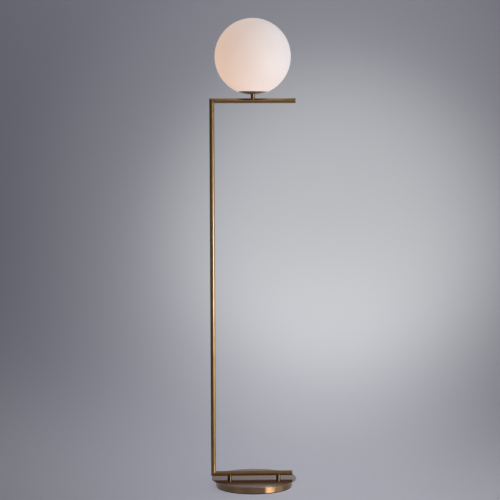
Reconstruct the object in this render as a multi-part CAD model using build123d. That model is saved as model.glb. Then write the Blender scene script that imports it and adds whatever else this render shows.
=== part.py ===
from build123d import *
import math
import os

# Globe floor lamp, in millimetres. Z is up and the floor is Z = 0. The globe and the round base
# share the axis X = Y = 0. The upright stands at -X, the cord inlet is in the base's +Y side.

# --- Driving dimensions: base ---
pad_inset = 2.5
pad_thickness = 3.0
drum_diameter = 254.0
drum_height = 22.0
drum_wall = 1.5
drum_edge_radius = 1.0
plate_diameter = 282.0
plate_thickness = 3.0
plate_edge_radius = 0.8
cover_thickness = 1.0
weight_clearance = 0.5
pocket_depth = 13.5
pocket_left = -98.0
pocket_right = 24.0
pocket_front = -22.0
pocket_back = 46.0
nut_pocket_diameter = 34.0
channel_width = 13.0

# --- Driving dimensions: cord inlet, clamp and terminal block ---
inlet_bore = 6.4
inlet_barrel_diameter = 11.0
inlet_flange_diameter = 15.0
inlet_flange_thickness = 2.0
inlet_bead_diameter = 12.4
inlet_tail = 7.0
clamp_length = 26.0
clamp_width = 9.0
clamp_height = 8.0
clamp_y = 36.0
clamp_screw_spacing = 17.0
clamp_screw_diameter = 3.4
clamp_screw_head_diameter = 6.0
clamp_screw_head_height = 2.2
terminal_pole_count = 3
terminal_pole_pitch = 9.5
terminal_depth = 17.0
terminal_base_height = 9.0
terminal_collar_height = 2.5
terminal_collar_diameter = 7.4
terminal_left = -52.0
terminal_screw_diameter = 4.0
terminal_screw_sink = 0.8

# --- Driving dimensions: posts, frame and inner lead ---
post_diameter = 14.0
post_gap = 7.5
post_spacing = 162.0
tube_diameter = 16.0
tube_wall = 1.5
upright_x = -135.0
frame_rise = 1237.0
lower_arm_end = 127.0
upper_arm_end = 139.5
end_cap_thickness = 1.0
end_cap_plug_length = 8.0
end_cap_edge_radius = 0.3
lead_hole_diameter = 9.0
lead_diameter = 4.0
lead_terminal_height = 2.5
lead_bend_radius = 12.0
lead_corner_radius = 20.0
lead_slope_radius = 15.0
lead_slope_run = 14.0
lead_slope_gap = 17.0

# --- Driving dimensions: threaded nipples, washers and nuts ---
nipple_diameter = 10.0
nipple_bore = 7.0
nipple_post_gap = 1.5
washer_diameter = 20.0
washer_thickness = 1.0
nut_across_flats = 14.0
nut_thickness = 3.0

# --- Driving dimensions: stem, saucer, gallery and globe ---
stem_diameter = 13.5
stem_height = 12.0
globe_diameter = 250.0
globe_wall = 3.0
mouth_diameter = 72.0
mouth_lip_height = 9.0
saucer_diameter = 97.5
saucer_wall = 1.2
saucer_flat_depth = 0.5
gasket_thickness = 0.6
gasket_margin = 0.3
gallery_wall = 1.2
gallery_collar_height = 12.0

# --- Driving dimensions: lampholder ---
holder_diameter = 38.0
holder_wall = 1.6
holder_base_height = 20.0
holder_cone_height = 9.0
holder_hub_diameter = 17.0
holder_ledge_height = 14.0
holder_ledge_width = 1.8
holder_sleeve_height = 34.0
insert_height = 14.0
screw_shell_bore = 26.9
screw_shell_wall = 0.5
screw_shell_height = 25.0
screw_shell_hole = 16.0
contact_width = 5.0
contact_span = 13.2
contact_rise = 3.7
contact_thickness = 0.6

# --- Driving dimensions: bulb ---
bulb_cap_diameter = 26.2
bulb_cap_height = 20.0
bulb_tip_diameter = 9.0
bulb_tip_height = 1.6
bulb_insulator_height = 3.4
bulb_diameter = 60.0
bulb_length = 108.0
bulb_neck_diameter = 29.0
bulb_housing_height = 34.0
bulb_dome_join_diameter = 57.0

# --- Clearances between pieces ---
thread_clearance = 0.05
hole_clearance = 0.2
seat_clearance = 0.3
bore_clearance = 0.2

# --- Sizes worked out from the driving dimensions ---
STANDING = (Align.CENTER, Align.CENTER, Align.MIN)
pad_diameter = drum_diameter - 2 * pad_inset
cover_top = pad_thickness + cover_thickness
drum_top = pad_thickness + drum_height
plate_top = drum_top + plate_thickness
pocket_ceiling = cover_top + pocket_depth
inlet_height = cover_top + pocket_depth / 2
drum_radius = drum_diameter / 2
tube_radius = tube_diameter / 2
tube_bore_radius = tube_radius - tube_wall
lower_axis = plate_top + post_gap + tube_radius
upper_axis = lower_axis + frame_rise
post_places = (-post_spacing / 2, post_spacing / 2)
stem_bottom = upper_axis + tube_radius
saucer_bottom = stem_bottom + stem_height
globe_radius = globe_diameter / 2
globe_centre = saucer_bottom + globe_radius - saucer_flat_depth
saucer_rim = -math.sqrt(globe_radius**2 - (saucer_diameter / 2) ** 2)
saucer_floor = saucer_bottom + saucer_wall
globe_base = saucer_rim + gasket_thickness
nipple_hole = nipple_diameter + 2 * hole_clearance
gallery_nut_bottom = saucer_floor + gallery_wall + washer_thickness
holder_bottom = gallery_nut_bottom + nut_thickness
holder_ledge = holder_bottom + holder_ledge_height
insert_top = holder_ledge + insert_height
contact_top = insert_top + contact_rise
bulb_bottom = contact_top + seat_clearance
bulb_cap_bottom = bulb_bottom + bulb_tip_height + bulb_insulator_height
bulb_cap_top = bulb_cap_bottom + bulb_cap_height
bulb_dome_bottom = bulb_cap_top + bulb_housing_height
bulb_top = bulb_bottom + bulb_length
terminal_right = terminal_left + terminal_pole_count * terminal_pole_pitch


# --- Shared shapes ---
def cylinder(diameter, bottom, top, x=0.0, y=0.0):
    """Upright cylinder between two heights."""
    return Pos(x, y, bottom) * Cylinder(diameter / 2, top - bottom, align=STANDING)


def ring(outer, inner, bottom, top, x=0.0, y=0.0):
    """Upright ring between two heights."""
    return cylinder(outer, bottom, top, x, y) - cylinder(inner, bottom, top, x, y)


def rounded_disc(diameter, bottom, top, radius):
    """Upright disc whose two rim edges are rounded."""
    disc = cylinder(diameter, bottom, top)
    return fillet(disc.edges().filter_by(GeomType.CIRCLE), radius)


def turned(*edges):
    """Solid of revolution about Z from a closed profile of radius and height."""
    return revolve(Plane.XZ * make_face(Curve() + list(edges)), Axis.Z)


def turned_polygon(*points):
    """Solid of revolution about Z from straight-sided profile points of radius and height."""
    return turned(Polyline(*points, close=True))


def on_sphere(radius, height):
    """Profile point of a sphere about the globe's centre, at a height from that centre."""
    return (math.sqrt(max(radius**2 - height**2, 0.0)), globe_centre + height)


def meridian(radius, start, end):
    """Profile arc of a sphere about the globe's centre, between two heights from that centre."""
    middle = radius * math.sin((math.asin(start / radius) + math.asin(end / radius)) / 2)
    return ThreePointArc(on_sphere(radius, start), on_sphere(radius, middle), on_sphere(radius, end))


def hex_nut(bottom, x=0.0):
    """Thin hexagon nut on a threaded nipple."""
    blank = RegularPolygon(nut_across_flats / 2, 6, major_radius=False)
    nut = Pos(x, 0, bottom) * extrude(blank, nut_thickness)
    bore = cylinder(nipple_diameter + 2 * thread_clearance, bottom, bottom + nut_thickness, x)
    return nut - bore


def nipple(bottom, top, x=0.0):
    """Hollow threaded tube that carries a lead."""
    return ring(nipple_diameter, nipple_bore, bottom, top, x)


# --- Base ---
def make_base_pad():
    return cylinder(pad_diameter, 0, pad_thickness)


def make_base_cover():
    """Steel disc that closes the weight's pocket and carries the clamp."""
    cover = cylinder(drum_diameter - 2 * drum_wall - 2 * weight_clearance, pad_thickness, cover_top)
    for x in clamp_screw_places():
        cover -= cylinder(clamp_screw_diameter + hole_clearance, pad_thickness, cover_top, x, clamp_y)
    return cover


def make_base_weight():
    """Cast disc with a wiring pocket, a round pocket for the second nut and a cord channel."""
    radius = drum_radius - drum_wall - weight_clearance
    weight = cylinder(2 * radius, cover_top, drum_top - drum_wall)
    pocket = Box(
        pocket_right - pocket_left,
        pocket_back - pocket_front,
        pocket_depth,
        align=(Align.MIN, Align.MIN, Align.MIN),
    )
    weight -= Pos(pocket_left, pocket_front, cover_top) * pocket
    weight -= cylinder(nut_pocket_diameter, cover_top, pocket_ceiling, post_places[1])
    channel = Box(channel_width, radius, pocket_depth, align=(Align.CENTER, Align.MIN, Align.MIN))
    weight -= Pos(0, 0, cover_top) * channel
    for x in post_places:
        weight -= cylinder(nipple_hole, cover_top, drum_top, x)
    return weight


def make_base_drum():
    """Sheet drum, open below, that covers the weight."""
    drum = cylinder(drum_diameter, pad_thickness, drum_top)
    drum = fillet(drum.edges().group_by(Axis.Z)[-1], drum_edge_radius)
    drum -= cylinder(drum_diameter - 2 * drum_wall, pad_thickness, drum_top - drum_wall)
    for x in post_places:
        drum -= cylinder(nipple_hole, pad_thickness, drum_top, x)
    hole_diameter = inlet_barrel_diameter + 2 * hole_clearance
    drum -= Pos(0, 0, inlet_height) * Rot(X=-90) * Cylinder(hole_diameter / 2, drum_diameter, align=STANDING)
    return drum


def make_top_plate():
    """Thin polished plate that overhangs the drum."""
    plate = rounded_disc(plate_diameter, drum_top, plate_top, plate_edge_radius)
    for x in post_places:
        plate -= cylinder(nipple_hole, drum_top, plate_top, x)
    return plate


def make_cord_inlet():
    """Bush through the drum's rear wall, snapped in between its flange and its bead."""
    flange_back = drum_radius
    wall_front = drum_radius - drum_wall - hole_clearance
    tail_end = wall_front - inlet_tail
    bead_end = wall_front - (inlet_bead_diameter - inlet_barrel_diameter)
    bore = inlet_bore / 2
    barrel = inlet_barrel_diameter / 2
    bush = turned_polygon(
        (bore, tail_end),
        (barrel, tail_end),
        (barrel, bead_end),
        (inlet_bead_diameter / 2, wall_front),
        (barrel, wall_front),
        (barrel, flange_back),
        (inlet_flange_diameter / 2, flange_back),
        (inlet_flange_diameter / 2, flange_back + inlet_flange_thickness / 2),
        (barrel, flange_back + inlet_flange_thickness),
        (bore, flange_back + inlet_flange_thickness),
    )
    return Pos(0, 0, inlet_height) * Rot(X=-90) * bush


def clamp_screw_places():
    return (-clamp_screw_spacing / 2, clamp_screw_spacing / 2)


def make_cord_clamp():
    """Bridge that presses the incoming cord on the cover."""
    clamp = Box(clamp_length, clamp_width, clamp_height, align=STANDING)
    clamp = fillet(clamp.edges().filter_by(Axis.Y).group_by(Axis.Z)[-1], clamp_height / 4)
    clamp = Pos(0, clamp_y, cover_top) * clamp
    groove = Rot(X=-90) * Cylinder(inlet_bore / 2, 2 * pocket_back, align=STANDING)
    clamp -= Pos(0, 0, cover_top) * groove
    for x in clamp_screw_places():
        clamp -= cylinder(clamp_screw_diameter + hole_clearance, cover_top, pocket_ceiling, x, clamp_y)
    return clamp


def make_clamp_screws():
    head_bottom = cover_top + clamp_height
    screws = []
    for x in clamp_screw_places():
        shank = cylinder(clamp_screw_diameter, pad_thickness, head_bottom, x, clamp_y)
        head_top = head_bottom + clamp_screw_head_height
        head = cylinder(clamp_screw_head_diameter, head_bottom, head_top, x, clamp_y)
        screws.append(shank + head)
    return Compound(children=screws)


def terminal_places():
    first = terminal_left + terminal_pole_pitch / 2
    return [first + pole * terminal_pole_pitch for pole in range(terminal_pole_count)]


def make_terminal_block():
    """Strip of screw terminals, one collar to a pole."""
    top = cover_top + terminal_base_height
    length = terminal_right - terminal_left
    body = Box(length, terminal_depth, terminal_base_height, align=(Align.MIN, Align.CENTER, Align.MIN))
    block = Pos(terminal_left, 0, cover_top) * body
    for x in terminal_places():
        block += cylinder(terminal_collar_diameter, top, top + terminal_collar_height, x)
        block -= cylinder(terminal_screw_diameter + hole_clearance, top, top + terminal_collar_height, x)
    return block


def make_terminal_screws():
    bottom = cover_top + terminal_base_height
    top = bottom + terminal_collar_height - terminal_screw_sink
    return Compound(children=[cylinder(terminal_screw_diameter, bottom, top, x) for x in terminal_places()])


# --- Posts between base and frame ---
def tube_body(length, diameter):
    """Round bar along X that starts at the origin."""
    return Rot(Y=90) * Cylinder(diameter / 2, length, align=STANDING)


def make_post(x):
    """Round post, cut to a saddle under the lower arm and tapped for its nipple."""
    post = ring(post_diameter, nipple_diameter + 2 * thread_clearance, plate_top, lower_axis, x)
    return post - Pos(x - post_diameter, 0, lower_axis) * tube_body(2 * post_diameter, tube_diameter)


def nipple_bottom():
    return pocket_ceiling - washer_thickness - nut_thickness


def make_post_nipple(x):
    return nipple(nipple_bottom(), plate_top + post_gap - nipple_post_gap, x)


def make_base_washers():
    bottom = pocket_ceiling - washer_thickness
    washers = [ring(washer_diameter, nipple_hole, bottom, pocket_ceiling, x) for x in post_places]
    return Compound(children=washers)


def make_base_nuts():
    return Compound(children=[hex_nut(nipple_bottom(), x) for x in post_places])


# --- Frame ---
def tube_along_x(end, height):
    """Tube from beyond the corner to the arm's open end."""
    start = upright_x - tube_diameter
    tube = tube_body(end - start, tube_diameter) - tube_body(end - start, 2 * tube_bore_radius)
    return Pos(start, 0, height) * tube


def mitre(height, lean):
    """Plane through a corner; its normal side holds the arm."""
    return Plane(origin=(upright_x, 0, height), z_dir=(1, 0, lean))


def make_lower_arm():
    arm = split(tube_along_x(lower_arm_end, lower_axis), bisect_by=mitre(lower_axis, -1), keep=Keep.TOP)
    return arm - cylinder(lead_hole_diameter, plate_top, lower_axis, post_places[0])


def make_upper_arm():
    arm = split(tube_along_x(upper_arm_end, upper_axis), bisect_by=mitre(upper_axis, 1), keep=Keep.TOP)
    return arm - cylinder(lead_hole_diameter, upper_axis, stem_bottom)


def make_upright():
    bottom = lower_axis - tube_diameter
    tube = ring(tube_diameter, 2 * tube_bore_radius, bottom, upper_axis + tube_diameter, upright_x)
    tube = split(tube, bisect_by=mitre(lower_axis, -1), keep=Keep.BOTTOM)
    return split(tube, bisect_by=mitre(upper_axis, 1), keep=Keep.BOTTOM)


def make_end_cap(end, height):
    """Flat plug that closes an arm's open end."""
    disc = fillet(tube_body(end_cap_thickness, tube_diameter).edges().group_by(Axis.X)[-1], end_cap_edge_radius)
    plug = Pos(-end_cap_plug_length, 0, 0) * tube_body(
        end_cap_plug_length, 2 * (tube_bore_radius - thread_clearance)
    )
    hollow = Pos(-end_cap_plug_length, 0, 0) * tube_body(
        end_cap_plug_length, 2 * (tube_bore_radius - tube_wall)
    )
    return Pos(end, 0, height) * (disc + plug - hollow)


# --- Inner lead ---
def make_inner_lead():
    """Lead from the terminal block through post, arms and stem to the lampholder."""
    reach = tube_bore_radius - lead_diameter / 2 - bore_clearance
    nipple_x = post_places[0]
    wall_x = upright_x - reach
    pocket_z = cover_top + lead_terminal_height
    drop_start = nipple_x - lead_slope_gap
    sag_start = upright_x + 2 * (lead_corner_radius + lead_slope_gap)
    route = [
        (terminal_left, 0, pocket_z),
        (nipple_x, 0, pocket_z),
        (nipple_x, 0, lower_axis + reach),
        (drop_start, 0, lower_axis + reach),
        (drop_start - lead_slope_run, 0, lower_axis - reach),
        (wall_x, 0, lower_axis - reach),
        (wall_x, 0, upper_axis + reach),
        (sag_start, 0, upper_axis + reach),
        (sag_start + lead_slope_run, 0, upper_axis - reach),
        (0, 0, upper_axis - reach),
        (0, 0, holder_ledge),
    ]
    bend, corner, slope = lead_bend_radius, lead_corner_radius, lead_slope_radius
    radii = [bend, bend, slope, slope, corner, corner, slope, slope, bend]
    path = FilletPolyline(*route, radius=radii)
    section = Plane(origin=path @ 0, z_dir=path % 0) * Circle(lead_diameter / 2)
    lead = sweep(section, path)
    expected = math.pi * (lead_diameter / 2) ** 2 * path.length
    print("inner lead bend radii", radii, "volume ratio", round(lead.volume / expected, 4))
    return lead


# --- Stem, saucer, gallery and globe ---
def make_stem():
    """Short post with a saddle on the upper arm, tapped for the nipple."""
    stem = ring(stem_diameter, nipple_diameter + 2 * thread_clearance, upper_axis, saucer_bottom)
    return stem - Pos(-stem_diameter, 0, upper_axis) * tube_body(2 * stem_diameter, tube_diameter)


def make_stem_nipple():
    return nipple(stem_bottom + nipple_post_gap, holder_bottom + holder_cone_height - nipple_post_gap)


def make_saucer():
    """Spun dish whose outside goes on with the globe's sphere, flat where it sits on the stem."""
    inside = globe_radius - saucer_wall
    low_outside = saucer_bottom - globe_centre
    low_inside = saucer_floor - globe_centre
    hole = nipple_hole / 2
    return turned(
        Line((hole, saucer_bottom), on_sphere(globe_radius, low_outside)),
        meridian(globe_radius, low_outside, saucer_rim),
        Line(on_sphere(globe_radius, saucer_rim), on_sphere(inside, saucer_rim)),
        meridian(inside, saucer_rim, low_inside),
        Line(on_sphere(inside, low_inside), (hole, saucer_floor)),
        Line((hole, saucer_floor), (hole, saucer_bottom)),
    )


def make_gallery():
    """Spun cup clamped in the saucer; the globe's mouth turns on to its collar."""
    hole = nipple_hole / 2
    outer = mouth_diameter / 2 - seat_clearance
    inner = outer - gallery_wall
    inside = globe_radius - saucer_wall
    hub = on_sphere(inside, saucer_floor - globe_centre)[0] - seat_clearance
    heel = globe_centre - math.sqrt(inside**2 - outer**2) + seat_clearance
    top = heel + gallery_collar_height
    return turned_polygon(
        (hole, saucer_floor),
        (hub, saucer_floor),
        (outer, heel),
        (outer, top),
        (inner, top),
        (inner, heel + gallery_wall),
        (hub, saucer_floor + gallery_wall),
        (hole, saucer_floor + gallery_wall),
    )


def make_gallery_washer():
    return ring(washer_diameter, nipple_hole, saucer_floor + gallery_wall, gallery_nut_bottom)


def make_gasket():
    """Flat ring between the saucer's rim and the glass."""
    outer = on_sphere(globe_radius, saucer_rim)[0] - gasket_margin
    inner = on_sphere(globe_radius - saucer_wall, saucer_rim)[0] + gasket_margin
    return ring(2 * outer, 2 * inner, globe_centre + saucer_rim, globe_centre + globe_base)


def make_globe():
    """Blown sphere with a flat ground foot and a rounded lip round its mouth."""
    inside = globe_radius - globe_wall
    mouth = mouth_diameter / 2
    foot = globe_centre + globe_base
    lip = foot + mouth_lip_height
    foot_inside = globe_base + globe_wall
    lip_crown = (mouth + globe_wall / 2, lip + globe_wall / 2)
    return turned(
        Line((mouth, foot), on_sphere(globe_radius, globe_base)),
        meridian(globe_radius, globe_base, globe_radius),
        Line(on_sphere(globe_radius, globe_radius), on_sphere(inside, inside)),
        meridian(inside, inside, foot_inside),
        Line(on_sphere(inside, foot_inside), (mouth + globe_wall, foot + globe_wall)),
        Line((mouth + globe_wall, foot + globe_wall), (mouth + globe_wall, lip)),
        ThreePointArc((mouth + globe_wall, lip), lip_crown, (mouth, lip)),
        Line((mouth, lip), (mouth, foot)),
    )


# --- Lampholder ---
def make_holder_base():
    """Cup that screws on to the nipple and carries the insert on a ledge."""
    outer = holder_diameter / 2
    inner = outer - holder_wall
    ledge = inner - holder_ledge_width
    hub = holder_hub_diameter / 2
    thread = nipple_diameter / 2 + thread_clearance
    cone_top = holder_bottom + holder_cone_height
    return turned_polygon(
        (thread, holder_bottom),
        (hub, holder_bottom),
        (outer, cone_top),
        (outer, holder_bottom + holder_base_height),
        (inner, holder_bottom + holder_base_height),
        (inner, holder_ledge),
        (ledge, holder_ledge),
        (ledge, cone_top + holder_wall),
        (hub, cone_top - holder_wall),
        (thread, cone_top - holder_wall),
    )


def make_holder_sleeve():
    bottom = holder_bottom + holder_base_height
    top = bottom + holder_sleeve_height
    sleeve = ring(holder_diameter, holder_diameter - 2 * holder_wall, bottom, top)
    return fillet(sleeve.edges().group_by(Axis.Z)[-1], holder_wall / 3)


def make_holder_insert():
    """Ceramic block on the ledge that carries the contacts."""
    return cylinder(holder_diameter - 2 * holder_wall - 2 * bore_clearance, holder_ledge, insert_top)


def make_screw_shell():
    """Metal cup that the bulb's cap screws into, open round the centre contact."""
    outer = screw_shell_bore + 2 * screw_shell_wall
    shell = cylinder(outer, insert_top, insert_top + screw_shell_height)
    shell -= cylinder(screw_shell_bore, insert_top + screw_shell_wall, insert_top + screw_shell_height)
    return shell - cylinder(screw_shell_hole, insert_top, insert_top + screw_shell_wall)


def make_centre_contact():
    """Arched spring strip under the bulb's tip."""
    half = contact_span / 2
    foot = half - contact_thickness
    profile = make_face(
        Curve()
        + [
            ThreePointArc((-half, insert_top), (0, contact_top), (half, insert_top)),
            Line((half, insert_top), (foot, insert_top)),
            ThreePointArc((foot, insert_top), (0, contact_top - contact_thickness), (-foot, insert_top)),
            Line((-foot, insert_top), (-half, insert_top)),
        ]
    )
    return extrude(Plane.XZ * profile, contact_width / 2, both=True)


# --- Bulb ---
def make_bulb_tip():
    tip = cylinder(bulb_tip_diameter, bulb_bottom, bulb_bottom + bulb_tip_height)
    return fillet(tip.edges().group_by(Axis.Z)[0], bulb_tip_height / 2)


def make_bulb_insulator():
    bottom = bulb_bottom + bulb_tip_height
    wide = bulb_cap_diameter / 2 - screw_shell_wall
    return turned_polygon((0, bottom), (bulb_tip_diameter / 2, bottom), (wide, bulb_cap_bottom), (0, bulb_cap_bottom))


def make_bulb_cap():
    radius = bulb_cap_diameter / 2
    inner = radius - screw_shell_wall
    return turned_polygon(
        (0, bulb_cap_bottom),
        (inner, bulb_cap_bottom),
        (radius, bulb_cap_bottom + screw_shell_wall),
        (radius, bulb_cap_top),
        (0, bulb_cap_top),
    )


def make_bulb_housing():
    """Flared housing between the cap and the dome."""
    neck = bulb_neck_diameter / 2
    join = bulb_dome_join_diameter / 2
    waist = (neck + 0.42 * (join - neck), bulb_cap_top + bulb_housing_height / 2)
    return turned(
        Line((0, bulb_cap_top), (neck, bulb_cap_top)),
        ThreePointArc((neck, bulb_cap_top), waist, (join, bulb_dome_bottom)),
        Line((join, bulb_dome_bottom), (0, bulb_dome_bottom)),
        Line((0, bulb_dome_bottom), (0, bulb_cap_top)),
    )


def make_bulb_dome():
    """Round diffuser that swells to the bulb's full diameter."""
    radius = bulb_diameter / 2
    centre = bulb_top - radius
    join = bulb_dome_join_diameter / 2
    swell = ((join + radius) / 2 + (radius - join) / 4, (bulb_dome_bottom + centre) / 2)
    shoulder = (radius * math.sin(math.pi / 4), centre + radius * math.cos(math.pi / 4))
    return turned(
        Line((0, bulb_dome_bottom), (join, bulb_dome_bottom)),
        ThreePointArc((join, bulb_dome_bottom), swell, (radius, centre)),
        ThreePointArc((radius, centre), shoulder, (0, bulb_top)),
        Line((0, bulb_top), (0, bulb_dome_bottom)),
    )


# --- Write every sub-part ---
sub_parts = {
    "base_pad": make_base_pad(),
    "base_cover": make_base_cover(),
    "base_weight": make_base_weight(),
    "base_drum": make_base_drum(),
    "top_plate": make_top_plate(),
    "cord_inlet_bush": make_cord_inlet(),
    "cord_clamp": make_cord_clamp(),
    "cord_clamp_screws": make_clamp_screws(),
    "terminal_block": make_terminal_block(),
    "terminal_screws": make_terminal_screws(),
    "left_post": make_post(post_places[0]),
    "right_post": make_post(post_places[1]),
    "left_post_nipple": make_post_nipple(post_places[0]),
    "right_post_nipple": make_post_nipple(post_places[1]),
    "base_washers": make_base_washers(),
    "base_nuts": make_base_nuts(),
    "lower_arm": make_lower_arm(),
    "upright": make_upright(),
    "upper_arm": make_upper_arm(),
    "lower_end_cap": make_end_cap(lower_arm_end, lower_axis),
    "upper_end_cap": make_end_cap(upper_arm_end, upper_axis),
    "inner_lead": make_inner_lead(),
    "stem": make_stem(),
    "stem_nipple": make_stem_nipple(),
    "saucer": make_saucer(),
    "gallery": make_gallery(),
    "gallery_washer": make_gallery_washer(),
    "gallery_nut": hex_nut(gallery_nut_bottom),
    "lampholder_base": make_holder_base(),
    "lampholder_sleeve": make_holder_sleeve(),
    "lampholder_insert": make_holder_insert(),
    "lampholder_screw_shell": make_screw_shell(),
    "lampholder_centre_contact": make_centre_contact(),
    "bulb_tip": make_bulb_tip(),
    "bulb_insulator": make_bulb_insulator(),
    "bulb_cap": make_bulb_cap(),
    "bulb_housing": make_bulb_housing(),
    "bulb_dome": make_bulb_dome(),
    "globe_gasket": make_gasket(),
    "globe": make_globe(),
}

os.makedirs("parts", exist_ok=True)
for name, shape in sub_parts.items():
    export_step(shape, f"parts/{name}.step")
print(len(sub_parts), "sub-parts, overall height", round(globe_centre + globe_radius, 2))
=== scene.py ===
import math

import bpy
from mathutils import Matrix, Vector


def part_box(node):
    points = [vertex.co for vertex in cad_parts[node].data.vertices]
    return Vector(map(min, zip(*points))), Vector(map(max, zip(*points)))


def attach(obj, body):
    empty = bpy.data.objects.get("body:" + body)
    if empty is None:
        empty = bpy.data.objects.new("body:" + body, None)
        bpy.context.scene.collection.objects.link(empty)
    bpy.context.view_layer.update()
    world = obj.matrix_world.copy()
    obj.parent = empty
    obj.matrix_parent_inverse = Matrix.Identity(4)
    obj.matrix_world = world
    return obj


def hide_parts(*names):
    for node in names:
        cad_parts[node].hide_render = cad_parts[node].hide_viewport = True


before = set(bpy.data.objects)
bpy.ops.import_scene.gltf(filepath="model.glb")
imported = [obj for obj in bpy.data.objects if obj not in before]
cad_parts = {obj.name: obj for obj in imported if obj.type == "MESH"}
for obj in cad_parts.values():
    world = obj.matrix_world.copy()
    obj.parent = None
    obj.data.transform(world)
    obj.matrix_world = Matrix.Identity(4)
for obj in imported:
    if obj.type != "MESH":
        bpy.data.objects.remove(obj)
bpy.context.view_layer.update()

# Globe floor lamp. Metres, Z up, floor at Z = 0, globe and base on the axis X = Y = 0.
# The CAD nodes keep their shapes; what is made here is their finishes, the rolled threads,
# the lampholder's grips and the studio.

MILLIMETRE = 0.001


# --- Node trees ---
class Wire:
    """An output in a node tree. Arithmetic on it adds Math nodes, and node() adds any other."""

    def __init__(self, tree, socket=None):
        self.tree = tree
        self.socket = socket

    def node(self, kind, settings=None, sockets=None, output=0):
        """Adds a node: first its settings, then the values or links of its sockets."""
        new = self.tree.nodes.new(kind)
        for name, value in (settings or {}).items():
            setattr(new, name, value)
        for name, value in (sockets or {}).items():
            if isinstance(value, Wire):
                self.tree.links.new(value.socket, new.inputs[name])
            else:
                new.inputs[name].default_value = value
        return Wire(self.tree, new.outputs[output]) if new.outputs else new

    def out(self, name):
        """Another output of the same node."""
        return Wire(self.tree, self.socket.node.outputs[name])

    def maths(self, operation, *values):
        """A Math node on the values."""
        return self.node("ShaderNodeMath", {"operation": operation}, dict(enumerate(values)))

    def __add__(self, other):
        return self.maths("ADD", self, other)

    def __radd__(self, other):
        return self.maths("ADD", other, self)

    def __sub__(self, other):
        return self.maths("SUBTRACT", self, other)

    def __rsub__(self, other):
        return self.maths("SUBTRACT", other, self)

    def __mul__(self, other):
        return self.maths("MULTIPLY", self, other)

    def __rmul__(self, other):
        return self.maths("MULTIPLY", other, self)

    def __truediv__(self, other):
        return self.maths("DIVIDE", self, other)

    def __gt__(self, other):
        return self.maths("GREATER_THAN", self, other)

    def __lt__(self, other):
        return self.maths("LESS_THAN", self, other)


def clamped(wire):
    """The value held between 0 and 1."""
    return wire.node("ShaderNodeClamp", None, {0: wire, 1: 0.0, 2: 1.0})


def between(wire, low, high):
    """0 at low, 1 at high, and a straight line between."""
    return wire.node("ShaderNodeMapRange", None, {0: wire, 1: low, 2: high, 3: 0.0, 4: 1.0})


def mixed(mask, first, second):
    """Colour mix of two colours or wires."""
    first, second = (c if isinstance(c, Wire) else (*c, 1.0) for c in (first, second))
    return mask.node("ShaderNodeMix", {"data_type": "RGBA"}, {0: mask, 6: first, 7: second}, output=2)


def noise(place, scale, detail=2.0, roughness=0.5):
    """Noise from 0 to 1 at a place on the piece; scale is in features per metre."""
    sockets = {"Vector": place, "Scale": scale, "Detail": detail, "Roughness": roughness}
    return place.node("ShaderNodeTexNoise", None, sockets)


def stretched(place, x, y, z):
    """Place scaled along each axis, so that noise on it runs in lines."""
    return place.node("ShaderNodeMapping", None, {"Vector": place, "Scale": (x, y, z)})


def round_place(place, around, out, up):
    """Place as (angle, radius, height) about the lamp's axis, for lines left by turning or spinning."""
    split = place.node("ShaderNodeSeparateXYZ", None, {0: place})
    x, y, z = split, split.out("Y"), split.out("Z")
    radius = place.maths("SQRT", x * x + y * y)
    angle = place.maths("ARCTAN2", y, x)
    return place.node("ShaderNodeCombineXYZ", None, {0: angle * around, 1: radius * out, 2: z * up})


def bumped(place, height, depth, strength=1.0):
    """Normal from a height; depth is in metres."""
    sockets = {"Height": height, "Strength": strength, "Distance": depth}
    return place.node("ShaderNodeBump", None, sockets)


def new_finish(name):
    """An empty material, and the place on the piece."""
    material = bpy.data.materials.new(name)
    material.use_nodes = True
    material.node_tree.nodes.clear()
    place = Wire(material.node_tree).node("ShaderNodeTexCoord").out("Object")
    return material, place


def lay_on(material, place, sockets):
    """Closes a finish with its surface shader."""
    surface = place.node("ShaderNodeBsdfPrincipled", None, sockets)
    place.node("ShaderNodeOutputMaterial", None, {"Surface": surface})
    return material


# --- Finishes ---
# Brushing lines: how many per metre along each axis, or per radian round the lamp's axis.
ALONG_X = (6.0, 1500.0, 1500.0)
ALONG_Z = (1500.0, 1500.0, 6.0)
TURNED = (4.0, 1500.0, 1500.0)
BUFFED = (3.0, 900.0, 900.0)
DRAWN = (6.0, 2500.0, 2500.0)

# Tones of the darkened brass. The upright's and the posts' tones are darker copies of the tubes' brass:
# painted shade, which dims the upright's highlight and darkens the posts under the lower arm.
# Painted shade: the upright's brass is about four fifths as bright as the tubes', which dims its
# highlight.
UPRIGHT_BRASS_PAINTED_SHADE = (0.245, 0.146, 0.054)
TUBE_BRASS = (0.315, 0.185, 0.065)
TURNED_BRASS = (0.300, 0.183, 0.085)
# Painted shade: the posts' brass is about a quarter as bright as the tubes', for the shade under the
# lower arm.
POST_BRASS_PAINTED_SHADE = (0.070, 0.042, 0.018)


def grain_place(place, grain):
    """Place drawn out along a grain."""
    if grain is TURNED:
        return round_place(place, *TURNED)
    return stretched(place, *grain)


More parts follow.
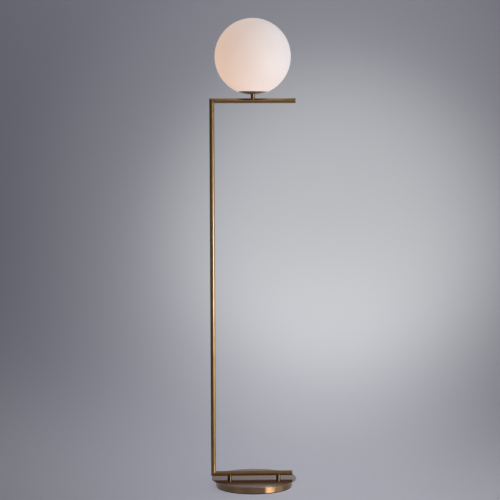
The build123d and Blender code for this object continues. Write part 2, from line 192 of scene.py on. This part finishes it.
def antique_brass(name, grain, tone, roughness=0.30, smear=0.0):
    """Darkened brass of a given tone, brushed along the grain, lacquered, with a cloudy patina."""
    material, place = new_finish(name)
    lines = noise(grain_place(place, grain), 1.0, 3.0, 0.6)
    cloud = noise(place, 26.0, 4.0, 0.6)
    speck = between(noise(place, 900.0, 2.0, 0.5), 0.66, 0.74)
    patina = clamped(between(cloud, 0.3, 0.7) * 0.8 + between(lines, 0.3, 0.7) * 0.2)
    dull, bright, pit = (tuple(share * part for part in tone) for share in (0.88, 1.12, 0.45))
    colour = mixed(speck * 0.5, mixed(patina, dull, bright), pit)
    return lay_on(
        material,
        place,
        {
            "Base Color": colour,
            "Metallic": 1.0,
            "Roughness": roughness + (lines - 0.5) * 0.10 + (cloud - 0.5) * 0.06,
            "Anisotropic": smear,
            "Anisotropic Rotation": 0.25,
            "Coat Weight": 0.5,
            "Coat Roughness": 0.16,
            "Normal": bumped(place, lines, 0.01 * MILLIMETRE, 0.4),
        },
    )


def polished_brass(name):
    """Plate buffed to a mirror, with faint circular buffing marks."""
    material, place = new_finish(name)
    marks = noise(round_place(place, *BUFFED), 1.0, 3.0, 0.6)
    cloud = noise(place, 14.0, 4.0, 0.6)
    colour = mixed(between(cloud, 0.3, 0.7), (0.45, 0.292, 0.208), (0.50, 0.325, 0.232))
    return lay_on(
        material,
        place,
        {
            "Base Color": colour,
            "Metallic": 1.0,
            "Roughness": 0.11 + between(marks, 0.35, 0.7) * 0.05 + (cloud - 0.5) * 0.04,
            "Normal": bumped(place, marks, 0.004 * MILLIMETRE, 0.5),
        },
    )


def plated_metal(name, colour, roughness):
    """Bright plated steel or brass with drawing lines and small stains."""
    material, place = new_finish(name)
    lines = noise(round_place(place, *DRAWN), 1.0, 3.0, 0.6)
    stain = between(noise(place, 180.0, 4.0, 0.6), 0.45, 0.75)
    darker = tuple(0.72 * part for part in colour)
    return lay_on(
        material,
        place,
        {
            "Base Color": mixed(stain * 0.6, colour, darker),
            "Metallic": 1.0,
            "Roughness": roughness + stain * 0.14 + (lines - 0.5) * 0.1,
            "Normal": bumped(place, lines, 0.01 * MILLIMETRE, 0.5),
        },
    )


def cast_iron(name):
    """Sand-cast weight under a thin black primer, with rust that shows through."""
    material, place = new_finish(name)
    sand = noise(place, 700.0, 5.0, 0.7)
    rust = between(noise(place, 60.0, 5.0, 0.65), 0.55, 0.7)
    return lay_on(
        material,
        place,
        {
            "Base Color": mixed(rust * 0.7, (0.055, 0.055, 0.058), (0.13, 0.06, 0.03)),
            "Metallic": 0.2,
            "Roughness": 0.66 + rust * 0.2,
            "Normal": bumped(place, sand, 0.3 * MILLIMETRE),
        },
    )


def moulded(name, light, dark, roughness, pebble, depth):
    """Moulded plastic or rubber: a fine pebble grain and slight colour drift."""
    material, place = new_finish(name)
    grain = noise(place, pebble, 3.0, 0.6)
    drift = noise(place, 45.0, 3.0, 0.6)
    return lay_on(
        material,
        place,
        {
            "Base Color": mixed(between(drift, 0.3, 0.7) * 0.7 + grain * 0.3, dark, light),
            "Roughness": roughness + (grain - 0.5) * 0.14,
            "Normal": bumped(place, grain, depth),
        },
    )


def fused_glass(name):
    """Fused dark glass between the bulb's tip and cap, nearly black and glossy."""
    material, place = new_finish(name)
    ripple = noise(place, 260.0, 2.0, 0.5)
    return lay_on(
        material,
        place,
        {
            "Base Color": mixed(ripple, (0.006, 0.006, 0.008), (0.02, 0.018, 0.022)),
            "Roughness": 0.08 + ripple * 0.1,
            "Normal": bumped(place, ripple, 0.15 * MILLIMETRE, 0.7),
        },
    )


def opal_glass(name):
    """Satin opal glass with a painted glow, though no lamp lights it from within: warm and bright
    towards the upright and the floor, cooler and dimmer towards the right and the top, where the studio
    lights fall on it.
    """
    material, place = new_finish(name)
    flow = noise(stretched(place, 1.0, 1.0, 0.45), 9.0, 3.0, 0.5)
    etch = noise(place, 1400.0, 2.0, 0.5)
    low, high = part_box("globe")
    middle, half = 0.5 * (low + high), 0.5 * (high - low)
    split = place.node("ShaderNodeSeparateXYZ", None, {0: place})
    across = (split - middle.x) / half.x
    upward = (split.out("Z") - middle.z) / half.z
    # Painted light: the glow's mask, 0 on the upright's side and low down, 1 on the right and at the
    # top.
    painted_glow_coolness = clamped(0.5 + 0.46 * across + 0.18 * upward + 0.08 * (flow - 0.5))
    return lay_on(
        material,
        place,
        {
            # A dim grey body; the painted glow gives most of the globe's brightness.
            "Base Color": mixed(between(flow, 0.3, 0.7), (0.39, 0.385, 0.380), (0.41, 0.405, 0.40)),
            "Roughness": 0.55 + (etch - 0.5) * 0.1,
            "Normal": bumped(place, etch, 0.01 * MILLIMETRE, 0.4),
            "Subsurface Weight": 1.0,
            "Subsurface Radius": (1.0, 0.8, 0.7),
            "Subsurface Scale": 0.001,
            "Specular IOR Level": 0.3,
            "Emission Color": mixed(painted_glow_coolness, (0.708, 0.485, 0.362), (0.405, 0.360, 0.372)),
            "Emission Strength": 1.0,
        },
    )


def diffuser(name):
    """The bulb's frosted white dome."""
    material, place = new_finish(name)
    frost = noise(place, 1200.0, 2.0, 0.6)
    drift = noise(place, 30.0, 2.0, 0.5)
    return lay_on(
        material,
        place,
        {
            "Base Color": mixed(drift, (0.86, 0.86, 0.83), (0.93, 0.93, 0.91)),
            "Roughness": 0.42 + (frost - 0.5) * 0.12,
            "Normal": bumped(place, frost, 0.02 * MILLIMETRE, 0.5),
            "Subsurface Weight": 0.6,
            "Subsurface Radius": (1.0, 0.9, 0.8),
            "Subsurface Scale": 0.004,
        },
    )


brass_along_x = antique_brass("antique_brass_arm", ALONG_X, TUBE_BRASS)
# Painted shade: the upright's material is a darker copy of the tube brass, which dims its highlight.
brass_along_z = antique_brass("antique_brass_upright_painted_shade", ALONG_Z, UPRIGHT_BRASS_PAINTED_SHADE, 0.41)
brass_turned = antique_brass("antique_brass_turned", TURNED, TURNED_BRASS, 0.30, 1.0)
# Painted shade: the posts' material is a dark copy of the brass, for the shade under the lower arm.
shaded_post_brass = antique_brass("antique_brass_post_painted_shade", ALONG_Z, POST_BRASS_PAINTED_SHADE)
zinc = plated_metal("zinc_plate", (0.62, 0.62, 0.60), 0.34)
nickel = plated_metal("nickel_plate", (0.75, 0.74, 0.71), 0.22)
contact_brass = plated_metal("contact_brass", (0.70, 0.55, 0.28), 0.26)
solder = plated_metal("solder", (0.70, 0.70, 0.68), 0.40)
FINE_GRAIN = 0.02 * MILLIMETRE
PEBBLE_GRAIN = 0.03 * MILLIMETRE
ROUGH_GRAIN = 0.1 * MILLIMETRE
ceramic = moulded(
    "holder_ceramic", (0.89, 0.88, 0.85), (0.80, 0.79, 0.75), 0.55, 900.0, PEBBLE_GRAIN
)
black_plastic = moulded(
    "black_plastic", (0.030, 0.030, 0.032), (0.016, 0.016, 0.018), 0.5, 1600.0, PEBBLE_GRAIN
)
white_plastic = moulded(
    "white_plastic", (0.85, 0.85, 0.83), (0.78, 0.78, 0.75), 0.45, 1600.0, FINE_GRAIN
)
sheath = moulded(
    "lead_sheath", (0.80, 0.80, 0.78), (0.70, 0.70, 0.67), 0.5, 1200.0, FINE_GRAIN
)
foot_rubber = moulded(
    "foot_rubber", (0.022, 0.022, 0.022), (0.012, 0.012, 0.012), 0.8, 800.0, ROUGH_GRAIN
)
gasket_rubber = moulded(
    "gasket_rubber", (0.75, 0.74, 0.72), (0.64, 0.63, 0.60), 0.7, 1200.0, PEBBLE_GRAIN
)

finishes = {
    brass_along_x: ["lower_arm", "upper_arm", "lower_end_cap", "upper_end_cap"],
    brass_along_z: ["upright"],
    brass_turned: ["base_drum", "saucer", "stem"],
    shaded_post_brass: ["left_post", "right_post"],
    polished_brass("polished_brass"): ["top_plate"],
    foot_rubber: ["base_pad"],
    zinc: [
        "base_cover",
        "base_nuts",
        "base_washers",
        "cord_clamp_screws",
        "gallery",
        "gallery_nut",
        "gallery_washer",
        "left_post_nipple",
        "right_post_nipple",
        "stem_nipple",
        "terminal_screws",
    ],
    cast_iron("cast_iron"): ["base_weight"],
    black_plastic: ["cord_inlet_bush", "lampholder_base", "lampholder_sleeve"],
    white_plastic: ["cord_clamp", "terminal_block", "bulb_housing"],
    sheath: ["inner_lead"],
    ceramic: ["lampholder_insert"],
    contact_brass: ["lampholder_screw_shell", "lampholder_centre_contact"],
    solder: ["bulb_tip"],
    fused_glass("bulb_insulator_glass"): ["bulb_insulator"],
    nickel: ["bulb_cap"],
    diffuser("bulb_diffuser"): ["bulb_dome"],
    gasket_rubber: ["globe_gasket"],
    opal_glass("opal_glass"): ["globe"],
}
for material, nodes in finishes.items():
    for node in nodes:
        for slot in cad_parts[node].material_slots:
            slot.material = material


# --- Shapes that follow a rule ---
FLOAT = "NodeSocketFloat"
COUNT = "NodeSocketInt"
TURN = 2 * math.pi
THREAD_PITCH = 25.4 * MILLIMETRE / 7
THREAD_DEPTH = 0.9 * MILLIMETRE
THREAD_RUN_OUT = 1.8 * MILLIMETRE
SHELL_WALL = 0.5 * MILLIMETRE
SLEEVE_PITCH = 2.6 * MILLIMETRE
SLEEVE_DEPTH = 0.7 * MILLIMETRE
SLEEVE_WALL = 0.9 * MILLIMETRE
THREAD_STEPS = 73
ROWS_PER_PITCH = 12
EDGE_ROWS = 3
SHELL_FLOOR_HOLE = 8.0 * MILLIMETRE
GRIP_DROP = 5.5 * MILLIMETRE
GRIP_WIDTH = 1.3 * MILLIMETRE
GRIP_LENGTH = 10.0 * MILLIMETRE
GRIP_COUNT = 36
BEAD_FACES = 8
SHARP_EDGE = math.radians(40)
MERGE_DISTANCE = 0.005 * MILLIMETRE


def new_shape_tree(name, inputs):
    """A geometry tree with named inputs, and the wires of those inputs by name."""
    tree = bpy.data.node_groups.new(name, "GeometryNodeTree")
    tree.interface.new_socket("Geometry", in_out="OUTPUT", socket_type="NodeSocketGeometry")
    for label, kind in inputs.items():
        tree.interface.new_socket(label, in_out="INPUT", socket_type=kind)
    sizes = Wire(tree).node("NodeGroupInput")
    return tree, {label: sizes.out(label) for label in inputs}


def close_shape(shape, finish):
    """Ends a tree in plain mesh with its finish on it."""
    real = shape.node("GeometryNodeRealizeInstances", None, {0: shape})
    done = real.node("GeometryNodeSetMaterial", None, {"Geometry": real, "Material": finish})
    done.node("NodeGroupOutput", None, {0: done})


def make_piece(name, tree, sizes, wall=0.0, side=0.0):
    """Plain mesh from a tree and its sizes; a wall is laid on the given side of an open surface."""
    piece = bpy.data.objects.new(name, bpy.data.meshes.new(name))
    bpy.context.scene.collection.objects.link(piece)
    maker = piece.modifiers.new(tree.name, "NODES")
    maker.node_group = tree
    for item in tree.interface.items_tree:
        if item.name in sizes:
            maker[item.identifier] = sizes[item.name]
    if wall:
        solid = piece.modifiers.new("wall", "SOLIDIFY")
        solid.thickness = wall
        solid.offset = side
        solid.use_even_offset = False
    made = piece.evaluated_get(bpy.context.evaluated_depsgraph_get())
    piece.data = bpy.data.meshes.new_from_object(made)
    piece.modifiers.clear()
    piece.data.polygons.foreach_set("use_smooth", [True] * len(piece.data.polygons))
    piece.data.set_sharp_from_angle(angle=SHARP_EDGE)
    return piece


def thread_tree(name, finish):
    """Turned wall with a rolled thread: the crest climbs one pitch in each turn about Z."""
    tree, size = new_shape_tree(
        name,
        {
            "Crest radius": FLOAT,
            "Thread depth": FLOAT,
            "Pitch": FLOAT,
            "Run-out": FLOAT,
            "Bottom": FLOAT,
            "Top": FLOAT,
            "Bottom end": FLOAT,
            "Top end": FLOAT,
            "Bottom edge": FLOAT,
            "Top edge": FLOAT,
            "Steps": COUNT,
            "Rows": COUNT,
        },
    )
    rows, bottom, top = size["Rows"], size["Bottom"], size["Top"]
    grid = rows.node(
        "GeometryNodeMeshGrid",
        None,
        {"Size X": 1.0, "Size Y": 1.0, "Vertices X": size["Steps"], "Vertices Y": rows},
    )
    turned = rows.node("ShaderNodeSeparateXYZ", None, {0: rows.node("GeometryNodeInputPosition")})
    row = (turned.out("Y") + 0.5) * (rows - 1)
    height = bottom + (top - bottom) * clamped((row - 1) / (rows - 3))
    wave = 0.5 + 0.5 * rows.maths("COSINE", (height / size["Pitch"] - turned) * TURN)
    low_end = 1 - clamped((height - bottom) / size["Run-out"])
    high_end = 1 - clamped((top - height) / size["Run-out"])
    crest = wave * (1 - low_end - high_end) + low_end * size["Bottom end"] + high_end * size["Top end"]
    first = row < 0.5
    last = row > rows - 1.5
    wall = size["Crest radius"] - size["Thread depth"] * (1 - crest)
    radius = wall * (1 - first - last) + first * size["Bottom edge"] + last * size["Top edge"]
    point = rows.node(
        "ShaderNodeCombineXYZ",
        None,
        {
            0: radius * rows.maths("COSINE", turned * TURN),
            1: radius * rows.maths("SINE", turned * TURN),
            2: height,
        },
    )
    bent = rows.node("GeometryNodeSetPosition", None, {"Geometry": grid, "Position": point})
    merging = {"Geometry": bent, "Distance": MERGE_DISTANCE}
    closed = rows.node("GeometryNodeMergeByDistance", None, merging)
    close_shape(closed, finish)
    return tree


def grip_tree(name, finish):
    """Rounded upright ribs, evenly spaced round a collar."""
    tree, size = new_shape_tree(
        name,
        {
            "Radius": FLOAT,
            "Height": FLOAT,
            "Rib width": FLOAT,
            "Rib length": FLOAT,
            "Ribs": COUNT,
        },
    )
    ribs = size["Ribs"]
    ring = ribs.node("GeometryNodeMeshCircle", None, {"Vertices": ribs, "Radius": size["Radius"]})
    lift = ribs.node("ShaderNodeCombineXYZ", None, {2: size["Height"]})
    collar = ribs.node("GeometryNodeSetPosition", None, {"Geometry": ring, "Offset": lift})
    bead = ribs.node(
        "GeometryNodeMeshUVSphere",
        None,
        {"Segments": BEAD_FACES, "Rings": BEAD_FACES, "Radius": 1.0},
    )
    half_width = size["Rib width"] * 0.5
    half_length = size["Rib length"] * 0.5
    shape = ribs.node("ShaderNodeCombineXYZ", None, {0: half_width, 1: half_width, 2: half_length})
    index = ribs.node("GeometryNodeInputIndex")
    facing = ribs.node("ShaderNodeCombineXYZ", None, {2: index * TURN / ribs})
    placed = ribs.node(
        "GeometryNodeInstanceOnPoints",
        None,
        {"Points": collar, "Instance": bead, "Rotation": facing, "Scale": shape},
    )
    close_shape(placed, finish)
    return tree


def thread_sizes(node, depth, pitch, inset=0.0):
    """Sizes of a thread that fills a round CAD node, with its wall inset from the node's outside."""
    low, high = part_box(node)
    radius = high.x - inset
    pitches = round((high.z - low.z) / pitch)
    return {
        "Crest radius": radius,
        "Thread depth": depth,
        "Pitch": pitch,
        "Run-out": THREAD_RUN_OUT,
        "Bottom": low.z,
        "Top": high.z,
        "Bottom end": 1.0,
        "Top end": 1.0,
        "Bottom edge": radius,
        "Top edge": radius,
        "Steps": THREAD_STEPS,
        "Rows": ROWS_PER_PITCH * pitches + EDGE_ROWS,
    }


def stand_in(piece, body, node):
    """A piece that is shown in place of a CAD node."""
    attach(piece, body)
    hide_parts(node)


cap_sizes = thread_sizes("bulb_cap", THREAD_DEPTH, THREAD_PITCH)
cap_sizes.update({"Bottom end": 0.0, "Bottom edge": 0.0, "Top edge": 0.0})
cap = make_piece("bulb_screw_cap", thread_tree("cap_thread", nickel), cap_sizes)
stand_in(cap, "bulb", "bulb_cap")

shell_sizes = thread_sizes("lampholder_screw_shell", THREAD_DEPTH, THREAD_PITCH, SHELL_WALL)
shell_sizes["Bottom"] += SHELL_WALL
shell_sizes["Bottom edge"] = SHELL_FLOOR_HOLE
shell_tree = thread_tree("shell_thread", contact_brass)
shell = make_piece("lampholder_rolled_shell", shell_tree, shell_sizes, SHELL_WALL, 1.0)
stand_in(shell, "stand", "lampholder_screw_shell")

sleeve_sizes = thread_sizes("lampholder_sleeve", SLEEVE_DEPTH, SLEEVE_PITCH)
sleeve_tree = thread_tree("sleeve_thread", black_plastic)
sleeve = make_piece("lampholder_threaded_sleeve", sleeve_tree, sleeve_sizes, SLEEVE_WALL, -1.0)
stand_in(sleeve, "stand", "lampholder_sleeve")

holder_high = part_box("lampholder_base")[1]
grips = make_piece(
    "lampholder_grip_ribs",
    grip_tree("grip_ribs", black_plastic),
    {
        "Radius": holder_high.x,
        "Height": holder_high.z - GRIP_DROP,
        "Rib width": GRIP_WIDTH,
        "Rib length": GRIP_LENGTH,
        "Ribs": GRIP_COUNT,
    },
)
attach(grips, "stand")


# --- Studio ---
COVE_FLOOR_RADIUS = 0.3
COVE_BEND_REACH = 9.7
COVE_BEND_HEIGHT = 4.3
COVE_WALL_TOP = 8.0
COVE_STEPS = 96
COVE_BEND_STEPS = 48
FLOOR_DROP = 0.1 * MILLIMETRE

POOL_PLACE = (-0.191, -4.836, 1.338)
WALL_PLACE = (0.0, 0.0, 3.4)
WALL_REACH = 7.0
WALL_AIM_HEIGHT = 1.2
WALL_HALF_ANGLE = 50.0
WALL_POWER = 260.0
WALL_COLOUR = (0.95, 0.95, 1.0)
SPOT_RADIUS = 0.3
SOFTBOX_SPREAD = math.radians(90)
HEAD_AIM = (0.0, 0.0, 1.4)
LAMP_AIM = (0.0, 0.0, 0.65)
FRAME_AIM = (0.0, 0.0, 0.6)
LOW_AIM = (0.0, 0.0, 0.5)
KEY_ROW = ((37.0, 4.5), (45.0, 4.4), (53.0, 3.4), (61.0, 1.8))  # heading, power
AIR_GLOW = 0.0425


def make_cove():
    """Round pale floor that curves up into a wall, seen behind the lamp from every side."""
    profile = []
    for step in range(COVE_BEND_STEPS + 1):
        turn = math.radians(90) * step / COVE_BEND_STEPS
        reach = COVE_FLOOR_RADIUS + COVE_BEND_REACH * math.sin(turn)
        profile.append((reach, COVE_BEND_HEIGHT * (1 - math.cos(turn))))
    profile.append((COVE_FLOOR_RADIUS + COVE_BEND_REACH, COVE_WALL_TOP))
    points = [(0.0, 0.0, -FLOOR_DROP)]
    for radius, height in profile:
        for step in range(COVE_STEPS):
            turn = TURN * step / COVE_STEPS
            x, y = radius * math.cos(turn), radius * math.sin(turn)
            points.append((x, y, height - FLOOR_DROP))
    faces = [(0, 1 + step, 1 + (step + 1) % COVE_STEPS) for step in range(COVE_STEPS)]
    for row in range(len(profile) - 1):
        start = 1 + row * COVE_STEPS
        for step in range(COVE_STEPS):
            near, far = start + step, start + (step + 1) % COVE_STEPS
            faces.append((near, near + COVE_STEPS, far + COVE_STEPS, far))
    mesh = bpy.data.meshes.new("studio_cove")
    mesh.from_pydata(points, [], faces)
    mesh.polygons.foreach_set("use_smooth", [True] * len(mesh.polygons))
    cove = bpy.data.objects.new("studio_cove", mesh)
    bpy.context.scene.collection.objects.link(cove)
    material, place = new_finish("studio_paper")
    tooth = noise(place, 220.0, 3.0, 0.6)
    lay_on(
        material,
        place,
        {
            "Base Color": mixed(tooth, (0.500, 0.503, 0.550), (0.515, 0.518, 0.565)),
            "Roughness": 0.95,
            "Specular IOR Level": 0.1,
        },
    )
    mesh.materials.append(material)
    return cove


def add_light(name, data, place, aim):
    """Stands a light at a place, turned to its aim and unseen by the camera."""
    light = bpy.data.objects.new(name, data)
    light.location = place
    light.rotation_euler = (Vector(aim) - Vector(place)).to_track_quat("-Z", "Y").to_euler()
    light.visible_camera = False
    bpy.context.scene.collection.objects.link(light)
    return light


def softbox(name, place, aim, width, height, power, shadow=True):
    """Rectangular white soft light; without shadow it leaves none on the floor."""
    data = bpy.data.lights.new(name, "AREA")
    data.shape = "RECTANGLE"
    data.size = width
    data.size_y = height
    data.energy = power
    data.spread = SOFTBOX_SPREAD
    data.use_shadow = shadow
    add_light(name, data, place, aim)


def backdrop_spot(name, place, aim, half_angle, power, colour):
    """Soft-edged spot that lights the backdrop alone."""
    data = bpy.data.lights.new(name, "SPOT")
    data.energy = power
    data.color = colour
    data.spot_size = 2 * math.radians(half_angle)
    data.spot_blend = 1.0
    data.shadow_soft_size = SPOT_RADIUS
    data.use_shadow = False
    light = add_light(name, data, place, aim)
    light.light_linking.receiver_collection = backdrop


def around(heading, distance, height):
    """A place round the lamp; heading is in degrees to the right of the camera."""
    turn = math.radians(heading)
    return (distance * math.sin(turn), -distance * math.cos(turn), height)


backdrop = bpy.data.collections.new("backdrop")
backdrop.objects.link(make_cove())

# The pool of light behind the lamp, from beside the camera: aim, half angle, power, colour.
for name, aim, half_angle, power, colour in (
    ("pool_core", (0.63, 4.0, 0.71), 8.5, 6300.0, (0.99, 1.0, 0.90)),
    ("pool_middle", (0.63, 4.0, 0.82), 13.0, 2900.0, (0.97, 1.0, 0.86)),
    ("pool_wide", (0.25, 4.0, 1.27), 21.0, 2250.0, (0.85, 0.84, 1.0)),
    ("pool_top", (0.44, 4.0, 1.75), 18.0, 1200.0, (0.92, 0.89, 1.0)),
):
    backdrop_spot(name, POOL_PLACE, aim, half_angle, power, colour)
# The other walls of the cove, from above the lamp.
for name, heading in (("wall_near", 0.0), ("wall_right", 90.0), ("wall_left", -90.0)):
    aim = around(heading, WALL_REACH, WALL_AIM_HEIGHT)
    backdrop_spot(name, WALL_PLACE, aim, WALL_HALF_ANGLE, WALL_POWER, WALL_COLOUR)

for heading, power in KEY_ROW:
    place = around(heading, 2.5, 0.5)
    softbox("key_softbox", place, LAMP_AIM, 0.36, 0.6, power, shadow=False)
softbox("right_softbox", around(80.0, 2.5, 0.7), LAMP_AIM, 1.1, 0.9, 2.7, shadow=False)
softbox("left_softbox", around(-50.0, 2.6, 0.7), LAMP_AIM, 1.2, 0.9, 0.7)
softbox("front_softbox", around(5.0, 3.0, 1.8), HEAD_AIM, 1.2, 1.0, 1.15)
softbox("high_right_softbox", around(60.0, 1.6, 3.0), FRAME_AIM, 1.2, 1.2, 4.3, shadow=False)
softbox("high_front_softbox", (0.1, -0.8, 3.1), FRAME_AIM, 2.2, 1.6, 1.1)
softbox("high_back_softbox", (0.4, 1.8, 3.3), LOW_AIM, 1.8, 1.2, 1.25)

world = bpy.data.worlds.new("studio_air")
bpy.context.scene.world = world
world.use_nodes = True
air = world.node_tree.nodes["Background"].inputs
air["Color"].default_value = (1.0, 1.0, 1.0, 1.0)
air["Strength"].default_value = AIR_GLOW


# --- Camera: the photograph's place, aim and lens ---
CAMERA_PLACE = (-0.010849, -4.83956, 1.08752)
CAMERA_HEADING = -0.0372307
CAMERA_TILT = 0.0615236
CAMERA_ROLL = -0.0032597
CAMERA_LENS = 105.601
CAMERA_SENSOR = 36.0
CAMERA_REACH = 60.0

camera_data = bpy.data.cameras.new("camera")
camera_data.lens = CAMERA_LENS
camera_data.sensor_width = CAMERA_SENSOR
camera_data.clip_end = CAMERA_REACH
camera = bpy.data.objects.new("camera", camera_data)
bpy.context.scene.collection.objects.link(camera)
camera.matrix_world = (
    Matrix.Rotation(CAMERA_HEADING, 4, "Z")
    @ Matrix.Translation(CAMERA_PLACE)
    @ Matrix.Rotation(math.pi / 2 - CAMERA_TILT, 4, "X")
    @ Matrix.Rotation(CAMERA_ROLL, 4, "Z")
)
bpy.context.scene.camera = camera
bpy.context.scene.view_settings.view_transform = "Standard"
